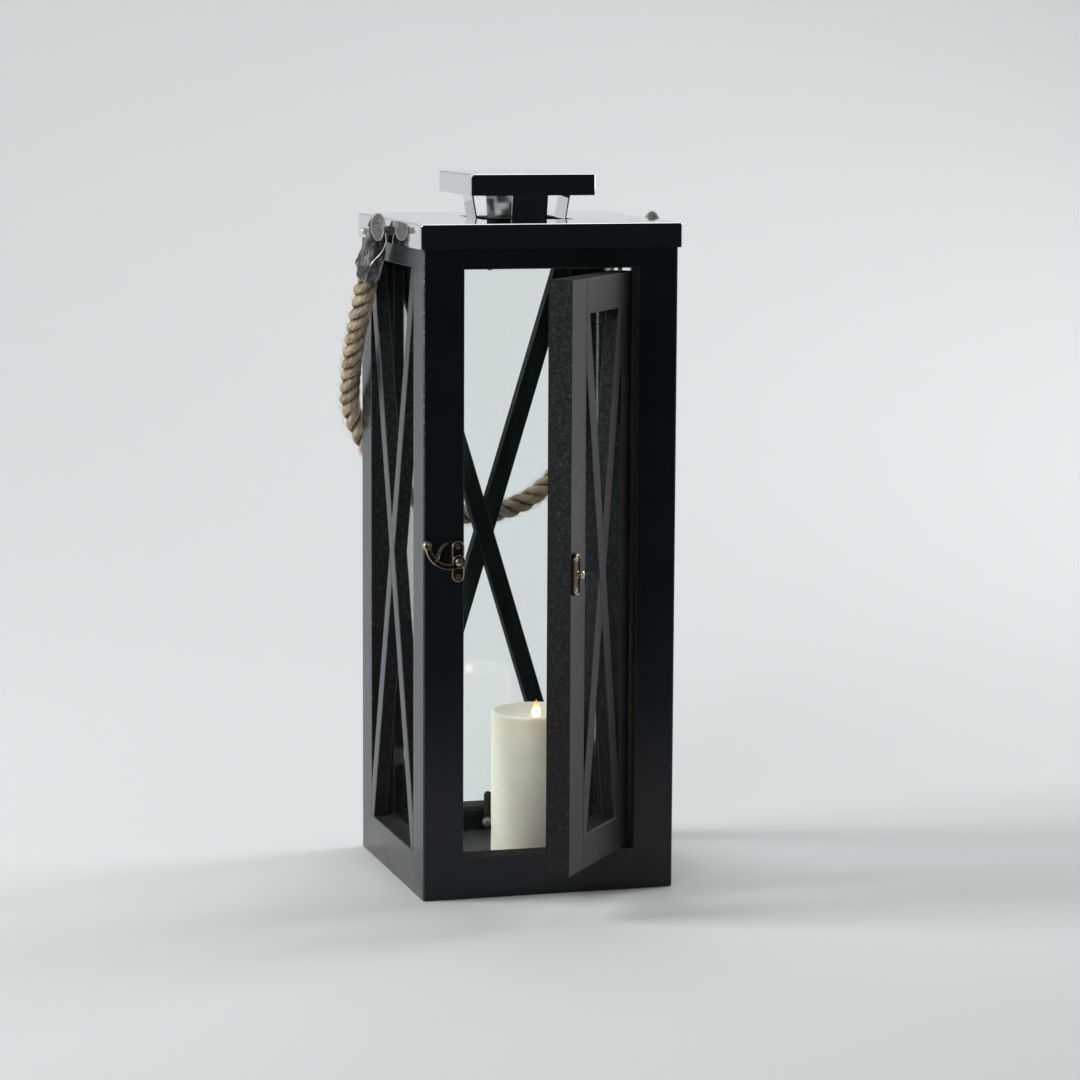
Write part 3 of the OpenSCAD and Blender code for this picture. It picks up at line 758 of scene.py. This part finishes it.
def rope_piece():
    """Three twisted strands of yarns, with stray fibres."""
    line, at = rope_route(MM)
    tangent, normal, binormal = turning_frames(line)
    points, faces, fibre, hollow = [], [], [], []
    for strand in range(3):
        rings, places, deep = twisted_strand(strand, line, at, normal, binormal)
        faces += tube_faces(len(at), STRAND_SIDES, len(points))
        points += rings.reshape(-1, 3).tolist()
        fibre += places.reshape(-1, 3).tolist()
        hollow += deep.ravel().tolist()
    random.seed(11)
    for hair in range(HAIRS):
        faces += tube_faces(HAIR_RINGS, 3, len(points))
        points += stray_hair(line, tangent, normal, binormal)
        fibre += [(hair * 7.3, 0, 0)] * (HAIR_RINGS * 3)
        hollow += [0.0] * (HAIR_RINGS * 3)
    mesh = bpy.data.meshes.new("rope")
    mesh.from_pydata(points, [], faces)
    mesh.attributes.new("fibre", "FLOAT_VECTOR", "POINT").data.foreach_set(
        "vector", np.array(fibre, np.float32).ravel())
    mesh.attributes.new("hollow", "FLOAT", "POINT").data.foreach_set("value", hollow)
    mesh.shade_smooth()
    mesh.materials.append(jute())
    piece = show("rope_twisted", mesh)
    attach(piece, "handle")
    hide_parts("handle_rope")
    route, route_at = rope_route(4 * MM)


rope_piece()

# ---- Turned and pressed fittings ----

def revolve(bm, profile, where, sides=32):
    """Adds a turned shape: (radius, height) pairs in millimetres about the Z axis of where."""
    rings = []
    for radius, height in profile:
        turns = [k * TAU / sides for k in range(sides if radius else 1)]
        circle = [(radius * cos(a), radius * sin(a)) for a in turns]
        rings.append(loop(bm, circle, height, where))
    for a, b in zip(rings, rings[1:]):
        for k in range(sides):
            j = (k + 1) % sides
            corners = [a[k % len(a)], a[j % len(a)], b[j % len(b)], b[k % len(b)]]
            bm.faces.new(list(dict.fromkeys(corners)))
    return bm


def loop(bm, outline, height, where):
    """Vertices of an outline in millimetres, lifted to a height."""
    return [bm.verts.new(where @ (Vector((u, w, height)) * MM)) for u, w in outline]


def screw_slot(bm, length, low, high, angle, where):
    """A dark bar half a millimetre wide, a little proud of the head: painted shade of a screw's slot,
    which is not cut.
    """
    turned = where @ Matrix.Rotation(angle, 4, "Z")
    box = [(length / 2 * i, 0.25 * j) for i, j in ((-1, -1), (1, -1), (1, 1), (-1, 1))]
    a, b = loop(bm, box, low, turned), loop(bm, box, high, turned)
    join_loops(bm, (a, b), 1)
    bm.faces.new(b).material_index = 1


def on_front(x, z):
    """Frame on the front face, at a place in millimetres: right, up, out."""
    return Matrix(((1, 0, 0, x * MM), (0, 0, -1, -HALF), (0, 1, 0, z * MM), (0, 0, 0, 1)))


def on_inside(x, z, up):
    """Frame on the front panel's inner face: x in millimetres, z in metres, up 1 or -1."""
    return Matrix(((-up, 0, 0, x * MM), (0, 0, 1, -INNER), (0, up, 0, z), (0, 0, 0, 1)))


def door_turn():
    """Moves what is drawn on the closed door to where the door stands in the frame."""
    pin_low, pin_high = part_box("door_pin_top")
    pivot = (pin_low + pin_high) / 2
    pivot.z = 0
    return (Matrix.Translation(pivot) @ Matrix.Rotation(DOOR_ANGLE, 4, "Z")
            @ Matrix.Translation(-pivot))


def finish_fitting(name, bm, materials, body, node, crease=35):
    """Turns the faces outward and makes the piece that stands for that node."""
    bmesh.ops.recalc_face_normals(bm, faces=bm.faces)
    make_piece(name, bm, materials, body, (node,), crease)


# ---- Latch ----

# In millimetres: where the latch sits on the front, how far its screws are from its middle, its
# hook's underside and top above the front, and the centre of the hook's curve
RIVET_X = -62.6
POST_X = -51.3
LATCH_Z = 223
SCREW_RISE = 9.8
HOOK_LOW, HOOK_HIGH = 3.35, 5.3
ARM_CENTRE = (-6, 11.2)


def plate(bm, where):
    """Pressed plate with round ends: a raised rim round a dark field with screw hollows."""
    width, length = 8.5, 27
    loops = []
    for inset, height in ((0, 0), (0, 1.9), (0.15, 2.5), (0.4, 2.9), (0.75, 3), (1.05, 2.75), (1.3, 2.2)):
        r, straight = width / 2 - inset, (length - width) / 2
        ends = arc((0, straight), r, 0, 180, 16) + arc((0, -straight), r, 180, 360, 16)
        loops.append(loop(bm, ends, height, where))
    join_loops(bm, loops[:2], 1)
    join_loops(bm, loops[1:])
    holes = []
    for side in (1, -1):
        rim, foot = (loop(bm, arc((0, side * SCREW_RISE), r, 0, 360 - 360 / 24, 23), h, where)
                     for r, h in ((2.3, 2.2), (1.7, 1.3)))
        join_loops(bm, (rim, foot), 1)
        holes.append(rim)
    edges = []
    for ring in [loops[-1]] + holes:
        edges += [bm.edges.get(pair) or bm.edges.new(pair) for pair in zip(ring, ring[1:] + ring[:1])]
    filled = bmesh.ops.triangle_fill(bm, edges=edges, use_beauty=True)
    for face in filled["geom"]:
        if isinstance(face, bmesh.types.BMFace):
            face.material_index = 1
    return bm


def plate_screws(bm, where):
    """Two slotted screws in the plate's hollows."""
    for side, angle in ((1, 0.5), (-1, 1.9)):
        spot = where @ Matrix.Translation(Vector((0, side * SCREW_RISE, 0)) * MM)
        revolve(bm, ((1.85, 1.2), (1.85, 2), (1.65, 2.3), (0.8, 2.42), (0, 2.44)), spot, 24)
        # The slot's dark brass is painted shade.
        screw_slot(bm, 3.3, 1.6, 2.46, angle, spot)
    return bm


def hook(bm, where):
    """Swing hook: rimmed arm with a round boss, a claw and a cupped finger end."""
    outline = (arc(ARM_CENTRE, 16.2, 190.9, 287.4, 30) + arc((0, 0), 4.4, 256, 556, 36)
               + arc(ARM_CENTRE, 12.6, 277.6, 188.6, 26))
    bottom = loop(bm, outline, HOOK_LOW, where)
    side = loop(bm, outline, HOOK_HIGH - 0.4, where)
    join_loops(bm, (bottom, side))
    bm.faces.new(bottom[::-1])
    top = bm.faces.new(side)
    top.normal_update()
    for inset, depth in ((0.3, 0.4), (0.3, 0), (0.4, -0.85)):
        bmesh.ops.inset_region(bm, faces=[top], thickness=inset * MM, depth=depth * MM,
                               use_even_offset=False)
    top.material_index = 1
    rows = []
    for i in range(17):
        angle = radians(119.5 + 57 * i / 16)
        inside = Vector((-0.7 + 12.5 * cos(angle), 1.3 + 12.5 * sin(angle), 0))
        across = Vector((-0.6 + 15.3 * cos(angle), -0.5 + 15.3 * sin(angle), 0)) - inside
        blunt = 0.55 if i == 0 else 1
        rows.append([bm.verts.new(where @ ((inside + across * (0.5 + (share - 0.5) * blunt)
                                            + Vector((0, 0, 4.3 + (h - 4.3) * blunt))) * MM))
                     for share, h in ((0, 3.4), (0, 4.9), (0.1, 5.15), (0.3, 4.75), (0.5, 4.7),
                                      (0.72, 5.3), (0.9, 5.35), (1, 4.9), (1, 3.4))])
    join_loops(bm, rows)
    bm.faces.new(rows[0])
    bm.faces.new(rows[-1][::-1])
    finger = where @ Matrix.Translation(Vector((-21, 11.1, 4.3)) * MM)
    cup = [(3.1 * sin(a), -3.1 * cos(a)) for a in [radians(d) for d in range(0, 133, 12)]]
    revolve(bm, [(0, -3.1)] + cup[1:] + [(2.1, 2.25), (1.95, 2), (1.85, 1.4), (1.5, 0.6),
                                        (0.8, 0.2), (0, 0.1)], finger, 28)
    return bm


def latch():
    """The hook side on the case and the catch side on the door."""
    case_side = on_front(RIVET_X, LATCH_Z)
    door_side = door_turn() @ on_front(POST_X, LATCH_Z)
    rivet = ((1.5, 0.2), (1.5, 5.45), (2.55, 5.45), (2.7, 5.75), (2.55, 6.2), (2, 6.55),
             (1.1, 6.75), (0, 6.8))
    post = ((1.5, -8.9), (1.5, 2), (2.5, 2.1), (2.5, 2.9), (2.1, 3.2), (1.6, 3.7), (1.5, 4.2),
            (1.5, 5.6), (2.35, 5.65), (2.6, 5.95), (2.5, 6.4), (2, 6.8), (1.1, 7), (0, 7.05))

    def brass(name, node, bm, body):
        finish_fitting(name, bm, (BRASS, BRASS_DARK), body, node)

    for side, where, body in (("hook", case_side, "case"), ("catch", door_side, "door")):
        node = f"{side}_plate"
        brass(f"{node}_pressed", node, plate(bmesh.new(), where), body)
        brass(f"{node}_screw_heads", f"{node}_screws", plate_screws(bmesh.new(), where), body)
    brass("hook_rivet_domed", "hook_rivet", revolve(bmesh.new(), rivet, case_side, 36), "case")
    brass("latch_hook_cast", "latch_hook", hook(bmesh.new(), case_side), "hook")
    brass("catch_post_turned", "catch_post", revolve(bmesh.new(), post, door_side), "door")


latch()


# ---- Clips that hold the glass ----

# Thickness of a clip's strip, and how far its screw is from the pane's edge, in millimetres
CLIP_T = 0.8
CLIP_SCREW = 5


def clip(bm, where):
    """Cranked strip with round ends, a bulge round its screw and an embossed ridge."""
    foot, tip, width = -10, 17, 2.75
    path = [(w, 0.4) for w in np.linspace(foot, -1.9, 14)]
    path += [(w, 0.4 + 2 * (0.5 - 0.5 * cos(pi * (w + 1.9) / 2.1))) for w in np.linspace(-1.6, 0.2, 7)]
    path += [(w, 2.4) for w in np.linspace(0.8, tip, 26)]
    shares = (-1, -0.75, -0.4, -0.2, 0, 0.2, 0.4, 0.75, 1)
    rows = []
    for i, (w, t) in enumerate(path):
        before, after = path[max(i - 1, 0)], path[min(i + 1, len(path) - 1)]
        tangent = Vector((after[0] - before[0], after[1] - before[1])).normalized()
        ends = min(w - foot, tip - w)
        half = width + 0.65 * exp(-((w + CLIP_SCREW) / 2.6) ** 2)
        if ends < width:
            half *= max(0.25, sqrt(1 - (1 - ends / width) ** 2))
        ridge = 0.5 * max(0, min(1, (w - 2) / 2, (14.5 - w) / 2))
        row = []
        for skin in (1, -1):
            for share in (shares if skin > 0 else shares[::-1]):
                lift = skin * CLIP_T / 2 + ridge * exp(-(share * half / 0.8) ** 2)
                row.append(bm.verts.new(where @ (Vector((share * half, w + tangent.y * -lift,
                                                         t + tangent.x * lift)) * MM)))
        rows.append(row)
    join_loops(bm, rows)
    bm.faces.new(rows[0])
    bm.faces.new(rows[-1][::-1])


def clip_screw(bm, where, angle):
    """Crosshead screw in a cupped washer."""
    spot = where @ Matrix.Translation(Vector((0, -CLIP_SCREW, CLIP_T)) * MM)
    revolve(bm, ((1.3, -1.2), (1.3, 0), (3.2, 0), (3.3, 0.2), (3.1, 0.55), (2.35, 1.15), (2.1, 1.2),
                 (2.05, 1), (2, 1.25), (1.7, 1.5), (0.9, 1.62), (0, 1.64)), spot, 28)
    # The cross is dark bars of painted shade.
    for quarter in (0, TAU / 4):
        screw_slot(bm, 2.3, 1, 1.66, angle + quarter, spot)


def glass_clips():
    """A clip below and above each pane of the case and the door."""
    quarters = [Matrix.Rotation(k * TAU / 4, 4, "Z") for k in (1, 2, 3)]
    sets = (("glass_clips", "glass_clip_screws", "case", 0, "back_glass", quarters),
            ("door_glass_clips", "door_clip_screws", "door", -0.25, "door_glass", [door_turn()]))
    for clips, screws, body, x, glass, turns in sets:
        pane_low, pane_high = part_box(glass)
        strips, heads = bmesh.new(), bmesh.new()
        for turn in turns:
            for z, up, angle in ((pane_low.z, 1, 0.3), (pane_high.z, -1, 1.1)):
                where = turn @ on_inside(x, z, up)
                clip(strips, where)
                clip_screw(heads, where, angle)
        finish_fitting(clips + "_strips", strips, (DARK_STEEL,), body, clips)
        finish_fitting(screws + "_heads", heads, (ZINC, SLOT_SHADE), body, screws)


glass_clips()

# ---- Handle ends ----

HANDLE_X, HANDLE_Z = 96, 431
FERRULE_DOWN = 39
FERRULE_SHEET = 0.85
# Heights above the ferrule's bolt, its half thickness and half width there, and how far its
# middle lies towards the case, in millimetres
FERRULE_SECTIONS = ((-39, 7.4, 7.6, 0.5), (-30, 8.2, 8.2, 0.6), (-20, 7.9, 8.6, 0.9),
                    (-10, 7.2, 9, 1.4), (0, 6.8, 9.2, 1.5), (10, 6.8, 9.2, 1.6))


def ease(value):
    """0 to 1 with soft ends."""
    value = min(1, max(0, value))
    return value * value * (3 - 2 * value)


def ferrule_skin(side):
    """Outer points of a ferrule about its bolt in millimetres, row by row from foot to mouth."""
    rows, columns = 54, 110
    heights, thick, wide, shifts = zip(*FERRULE_SECTIONS)
    grid = np.zeros((rows + 1, columns + 1, 3))
    for i in range(rows + 1):
        v = i / rows
        free_edge = np.interp(v, (0, 0.3, 0.5, 0.64, 0.77, 0.88, 1),
                              (0.08, 0.065, 0.045, 0, -0.07, -0.14, -0.18))
        for k in range(columns + 1):
            run = 1.17 * k / columns
            t = free_edge - run
            mouth = 3.2 - 6.3 * cos(TAU * t)
            z = -FERRULE_DOWN + v * (mouth + FERRULE_DOWN)
            a, b = np.interp(z, heights, thick), np.interp(z, heights, wide)
            lip = 1 - 0.24 * ease((v - 0.84) / 0.16) ** 2
            x, y = -a * sin(TAU * t) * lip, -b * cos(TAU * t) * lip
            spot = Vector((x, y, z))
            crumple = (noise.noise(spot * 0.16 + Vector((side, 3, 0))) * 0.6
                       + noise.noise(Vector((x * 0.5, y * 0.5, z * 0.16))) * 0.45)
            turn = (t + 1) % 1
            crease = 2.4 * exp(-abs(turn - 0.27) / 0.035 - abs(z + 26) / 6)
            under = -1.2 * ease((run - 0.76) / 0.2)
            lifted = 0.45 * (1 - ease(run / 0.06))
            out = Vector((x, y, 0)).normalized()
            smooth = 1 - ease((v - 0.6) / 0.3)
            grid[i, k] = spot + out * (crumple * smooth + crease + under + lifted)
            grid[i, k, 0] += np.interp(z, heights, shifts)
    return grid


def ferrule(side, node):
    """Sheet wrapped round the end of the rope, flattened and left open at the bolt."""
    grid = ferrule_skin(side)
    along, across = np.gradient(grid, axis=0), np.gradient(grid, axis=1)
    normal = np.cross(across, along)
    normal /= np.linalg.norm(normal, axis=2)[:, :, None]
    if (normal * (grid - grid.mean(axis=1, keepdims=True))).sum() < 0:
        normal = -normal
    bm = bmesh.new()
    where = (Matrix.Translation(Vector((side * HANDLE_X, 0, HANDLE_Z)) * MM)
             @ Matrix.Rotation(FERRULE_LEAN, 4, "X"))
    outer, inner = ([[bm.verts.new(where @ (Vector((x * -side, y, z)) * MM)) for x, y, z in row]
                     for row in skin.tolist()] for skin in (grid, grid - normal * FERRULE_SHEET))
    for skin in (outer, inner):
        join_loops(bm, skin, closed=False)
    # A shallow hollow closes the mouth; its pale metal is painted light standing for the lit inside of
    # the sheet.
    rim = np.array([v.co[:] for v in inner[-1]])
    bottom = rim.mean(axis=0)
    sink = where.to_3x3() @ Vector((0, 0.56, -0.83))
    loops = [inner[-1]]
    for share in (0.8, 0.55, 0.28):
        deep = sink * (0.15 * MM * (1 - share ** 2) ** 0.5)
        loops.append([bm.verts.new(Vector(bottom + (p - bottom) * share) + deep) for p in rim])
    join_loops(bm, loops, 2)
    bm.faces.new(loops[-1]).material_index = 2
    edges = [(outer[k], inner[k]) for k in (0, -1)]
    edges += [([row[k] for row in outer], [row[k] for row in inner]) for k in (0, -1)]
    for pair in edges:
        join_loops(bm, pair, 1, closed=False)
    finish_fitting(f"{node}_sheet", bm, (FERRULE, CUT, FERRULE_MOUTH_LIT), "handle",
                   node, crease=50)


def handle_ends():
    """Ferrules, bolts with their washers and round ends, and spacers."""
    for side, name in ((-1, "left"), (1, "right")):
        ferrule(side, f"ferrule_{name}")
        where = Matrix(((0, 0, side, 0), (side, 0, 0, 0), (0, 1, 0, HANDLE_Z * MM), (0, 0, 0, 1)))
        bolt = [(0, 71), (2, 71), (2, 91), (1.3, 91.5), (1.3, 100.3), (2.9, 100.3), (3, 100.5),
                (2.9, 101.2), (1.3, 101.4)]
        bolt += [(r, x) for x, r in arc((103.5, 0), 2.4, 147, 0, 12)]
        spacer = [(2.02, 87), (3, 87), (3.2, 87.2), (3.2, 88.5), (3, 88.7), (2.6, 88.8),
                  (2.6, 89.1), (3, 89.2), (3.2, 89.4), (3.2, 90.5), (3, 90.7), (2.02, 90.7)]
        for part, ending, profile, metal in (("bolt", "turned", bolt, ZINC),
                                             ("spacer", "washers", spacer, DARK_STEEL)):
            node = f"handle_{part}_{name}"
            finish_fitting(f"{node}_{ending}", revolve(bmesh.new(), profile, where), (metal,),
                           "case", node)


handle_ends()
for pin in ("door_pin_top", "door_pin_bottom"):
    finish_node(pin, STEEL)

# ---- Candle ----

CANDLE = Matrix.Translation(Vector((10, -18, 11)) * MM)
CANDLE_R = 30
WICK_FOOT = 95


def candle():
    """Pillar candle with a rounded rim and a shallow melted top."""
    profile = [(0, 0), (28.6, 0), (29.5, 0.35), (29.9, 1.2)]
    profile += [(CANDLE_R, h) for h in np.linspace(2, 94, 47)]
    profile += [(CANDLE_R, 96), (29.95, 97.6), (29.75, 98.6), (29.4, 99.3), (28.9, 99.6),
                (28.3, 99.5), (27.7, 99.1), (27, 98.5), (26, 98), (24, 97.4), (20, 96.7),
                (14, 95.8), (8, 95.2), (3, WICK_FOOT), (1.4, 95.2), (0, 95.4)]
    bm = revolve(bmesh.new(), profile, CANDLE, 112)
    centre = CANDLE.translation
    for vert in bm.verts:
        out = Vector((vert.co.x - centre.x, vert.co.y - centre.y, 0))
        if out.length > 20 * MM:
            vert.co += out.normalized() * (noise.noise(vert.co * 55) * 0.22 - 0.12) * MM
    finish_fitting("candle_pillar", bm, (candle_wax(),), "candle", "candle", crease=60)


def wick_and_flame():
    """Curved wick with a steady flame round its tip."""
    bm = bmesh.new()
    rings = []
    steps, sides = 14, 12
    for i in range(steps + 1):
        share = i / steps
        centre = CANDLE.translation + Vector((0.8 * share ** 2, -0.3 * share,
                                              WICK_FOOT - 0.5 + 7 * share)) * MM
        radius = (0.85 - 0.25 * share) * (1 + 0.12 * sin(i * 2.4))
        rings.append([bm.verts.new(centre + Vector((radius * cos(a + share),
                                                    radius * sin(a + share), 0)) * MM)
                      for a in [k * TAU / sides for k in range(sides)]])
    join_loops(bm, rings)
    bm.faces.new(rings[-1])
    bm.faces.new(rings[0][::-1])
    finish_fitting("candle_wick_burnt", bm, (burnt_wick(),), "candle", "candle_wick")
    flame = Matrix.Translation(CANDLE.translation + Vector((-0.2, -1.5, WICK_FOOT - 0.9)) * MM)
    profile = ((0, 0), (1.3, 0.25), (2.2, 1), (2.75, 2.4), (2.95, 4), (2.75, 5.6), (2.1, 7.4),
               (1.5, 9.2), (0.9, 10.8), (0.4, 12), (0, 12.6))
    bm = revolve(bmesh.new(), profile, flame, 24)
    bmesh.ops.recalc_face_normals(bm, faces=bm.faces)
    make_piece("candle_flame", bm, (flame_glow(),), "candle", crease=80)


candle()
wick_and_flame()

# ---- Stage ----

def cyclorama():
    """Pale seamless floor that curves up into a wall behind the lantern."""
    front, reach, wall, bend, side = -0.58, 0.9, 1.6, 3.7, 9.0
    profile = [(front, 0), (reach - 0.6, 0)]
    profile += [(reach + bend * sin(a), bend - bend * cos(a))
                for a in [radians(d) for d in range(0, 91, 3)]]
    profile += [(reach + bend, bend + wall)]
    bm = bmesh.new()
    rows = [[bm.verts.new((x, y, z)) for x in (-side, side)] for y, z in profile]
    join_loops(bm, rows, closed=False)
    mesh = bpy.data.meshes.new("cyclorama")
    bm.to_mesh(mesh)
    bm.free()
    mesh.shade_smooth()
    mesh.materials.append(new_material("paper", Roughness=0.9, Specular_IOR_Level=0.1,
                                       Base_Color=(0.76, 0.79, 0.8, 1))[0])
    stage = show("cyclorama", mesh)


def lamp(name, where, target, size, power, spread=180):
    """Softbox that faces a point. Its light spreads over that many degrees."""
    data = bpy.data.lights.new(name, "AREA")
    data.shape = "RECTANGLE"
    data.size, data.size_y = size
    data.energy = power
    data.spread = radians(spread)
    light = show(name, data)
    light.location = where
    light.rotation_mode = "QUATERNION"
    aim = Vector(target) - Vector(where)
    light.rotation_quaternion = aim.to_track_quat("-Z", "Y")


def world():
    """Dim surroundings that light the lantern, and a pale backdrop where the eye looks past it."""
    bpy.context.scene.world = around = bpy.data.worlds.new("world")
    around.use_nodes = True
    tree = around.node_tree
    dim = tree.nodes["Background"]
    dim.inputs["Color"].default_value = (0.0065, 0.0082, 0.01, 1)
    seen = add(tree, "Background", {"Color": (0.7, 0.74, 0.76, 1)})
    swap_for_ray(tree, "Is Camera Ray", dim, seen, "World Output")


def lights():
    """Softboxes left, in front and right, two washes on the backdrop and one lamp above it."""
    lamp("main", (-2.6, 0.35, 1.5), (0, 0, 0.2), (1.2, 1.6), 70)
    lamp("front", (-1.8, -2.4, 1.4), (0, 0, 0.25), (1.5, 1.5), 22)
    lamp("fill", (2.8, 0.6, 1.2), (0, 0, 0.25), (1.2, 1.8), 44)
    lamp("wash_left", (-3, 0.2, 3.6), (-1.6, 4.4, 2.2), (2, 2), 24, 90)
    lamp("wash_right", (3, 0.2, 2.7), (1.4, 4.4, 0.4), (2, 2), 13, 90)
    lamp("top", (0.8, 1.2, 3.6), (0.8, 1.1, 0), (2.4, 2.4), 22, 110)


cyclorama()
lights()
world()
bpy.context.scene.view_settings.view_transform = "Standard"
